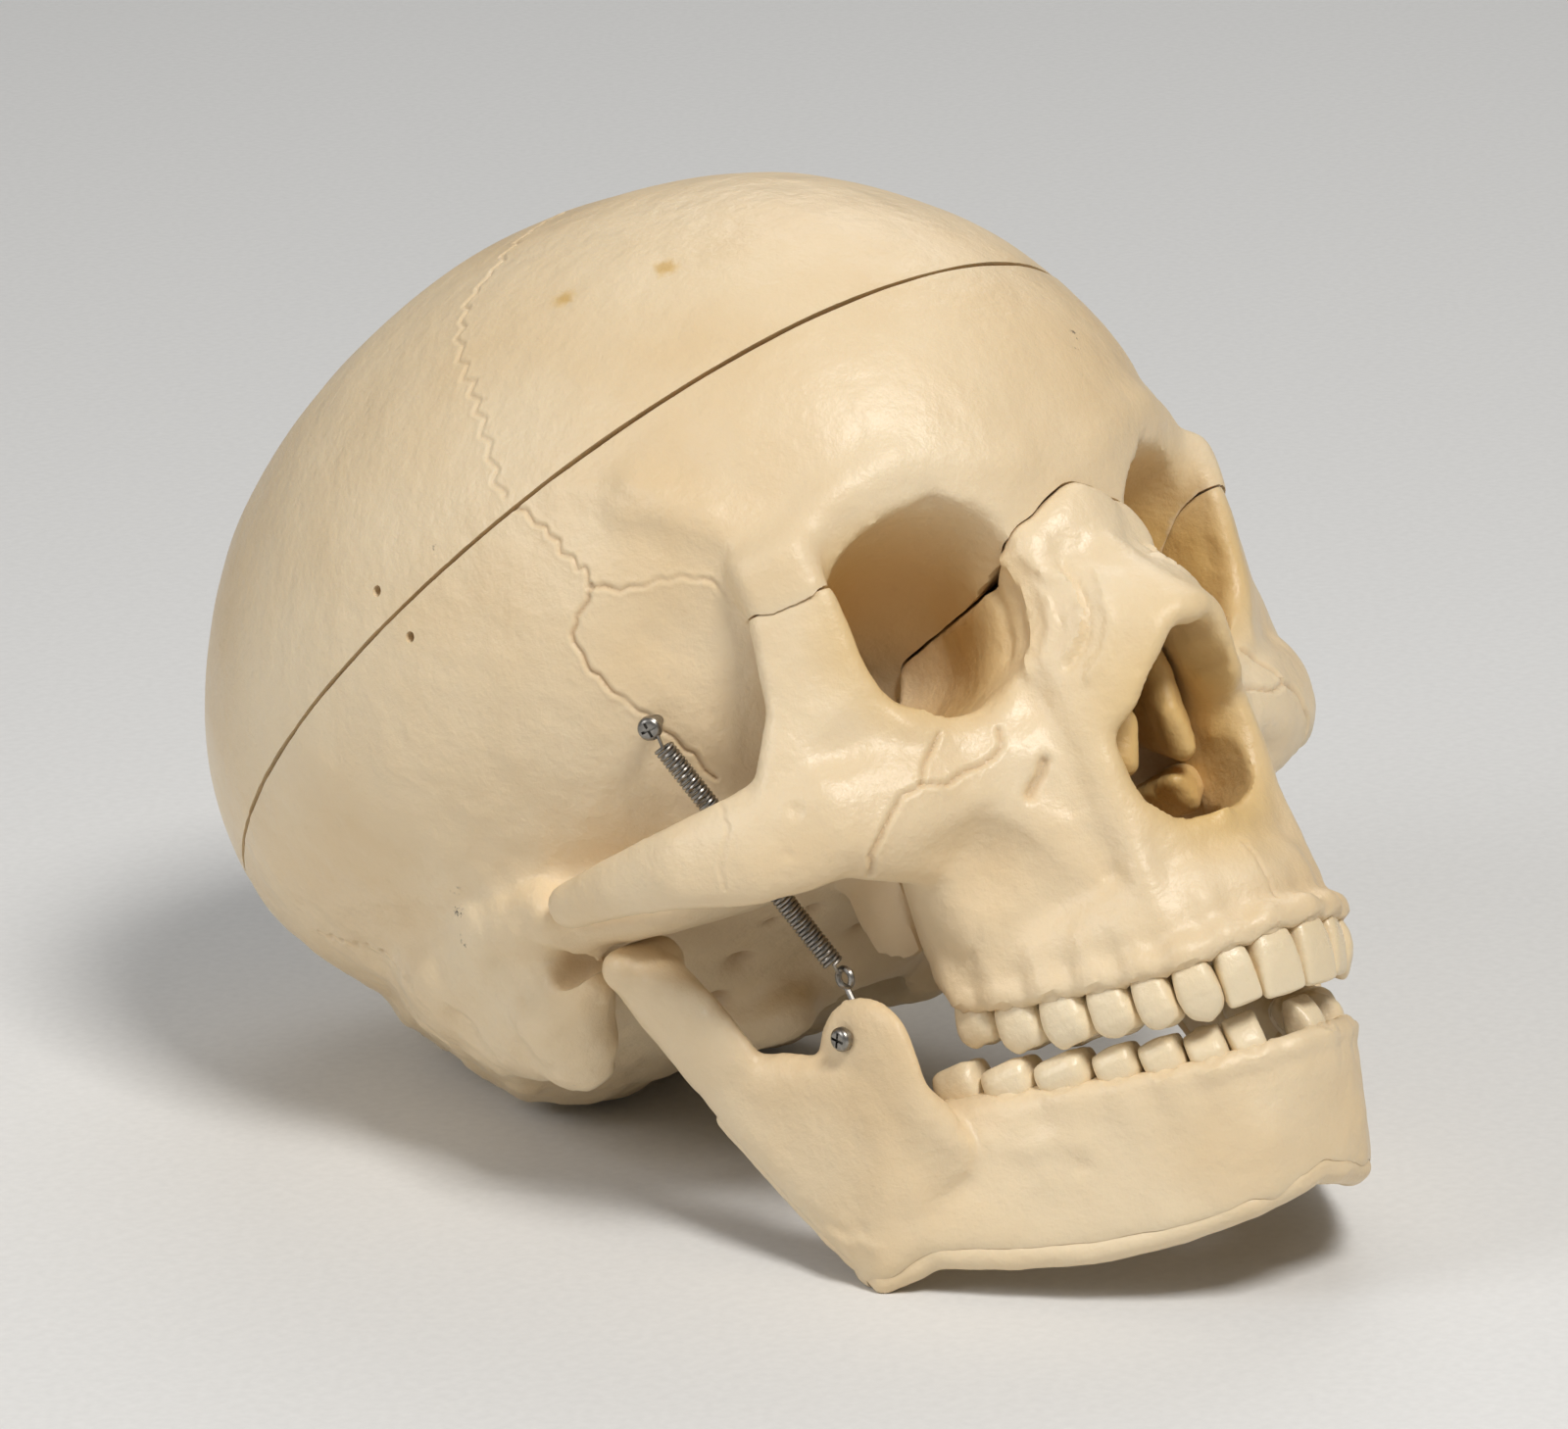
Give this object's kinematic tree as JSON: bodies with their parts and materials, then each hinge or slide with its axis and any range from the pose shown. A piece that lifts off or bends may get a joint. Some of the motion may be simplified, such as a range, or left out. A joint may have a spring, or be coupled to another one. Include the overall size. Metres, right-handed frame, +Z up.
{
  "type": "anatomical skull model",
  "caption": "Life-size plastic teaching skull with lift-off skull cap, separate face, inset teeth and a lower jaw hung on springs.",
  "frame": {"origin": "on the surface the skull rests on, under the middle of its bounding box", "axes": "+Z up from the surface, the face looks along -Y, +X is the skull's own left side"},
  "size_m": [0.1358, 0.2122, 0.1453],
  "materials": {
    "bone_plastic": "satin",
    "tooth_plastic": "satin gloss",
    "bright_steel": "bright, nickel plated"
  },
  "bodies": {
    "skull": {"skull_base": "bone_plastic", "face": "bone_plastic", "nasal_septum": "bone_plastic", "nasal_shell_upper_left": "bone_plastic", "nasal_shell_upper_right": "bone_plastic", "nasal_shell_lower_left": "bone_plastic", "nasal_shell_lower_right": "bone_plastic", "upper_central_incisor_left": "tooth_plastic", "upper_side_incisor_left": "tooth_plastic", "upper_canine_left": "tooth_plastic", "upper_first_premolar_left": "tooth_plastic", "upper_second_premolar_left": "tooth_plastic", "upper_first_molar_left": "tooth_plastic", "upper_second_molar_left": "tooth_plastic", "upper_third_molar_left": "tooth_plastic", "upper_central_incisor_right": "tooth_plastic", "upper_side_incisor_right": "tooth_plastic", "upper_canine_right": "tooth_plastic", "upper_first_premolar_right": "tooth_plastic", "upper_second_premolar_right": "tooth_plastic", "upper_first_molar_right": "tooth_plastic", "upper_second_molar_right": "tooth_plastic", "upper_third_molar_right": "tooth_plastic", "cap_pin_1": "bright_steel", "cap_pin_2": "bright_steel", "cap_pin_3": "bright_steel", "spring_screw_left": "bright_steel", "spring_screw_right": "bright_steel", "jaw_spring_left": "bright_steel", "jaw_spring_right": "bright_steel"},
    "cap": {"skull_cap": "bone_plastic"},
    "jaw": {"lower_jaw": "bone_plastic", "jaw_border_strip": "bone_plastic", "lower_central_incisor_left": "tooth_plastic", "lower_canine_left": "tooth_plastic", "lower_first_premolar_left": "tooth_plastic", "lower_second_premolar_left": "tooth_plastic", "lower_first_molar_left": "tooth_plastic", "lower_second_molar_left": "tooth_plastic", "lower_third_molar_left": "tooth_plastic", "lower_side_incisor_right": "tooth_plastic", "lower_canine_right": "tooth_plastic", "lower_first_premolar_right": "tooth_plastic", "lower_second_premolar_right": "tooth_plastic", "lower_first_molar_right": "tooth_plastic", "lower_second_molar_right": "tooth_plastic", "lower_third_molar_right": "tooth_plastic", "jaw_screw_left": "bright_steel", "jaw_screw_right": "bright_steel", "jaw_eyelet_left": "bright_steel", "jaw_eyelet_right": "bright_steel"}
  },
  "joints": [
    {"name": "jaw_hinge", "type": "hinge", "parent": "skull", "child": "jaw", "pos_m": [0, -0.01502, 0.03968], "axis": [1, 0, 0], "range_deg": [0, 24], "stiffness_Nm_per_rad": 0.3, "springref_deg": -20.05, "deforming": ["jaw_spring_left", "jaw_spring_right"]},
    {"name": "cap_lift", "type": "slide", "parent": "skull", "child": "cap", "axis": [0, 0.7186, 0.6954], "range_m": [0, 0.08]}
  ]
}
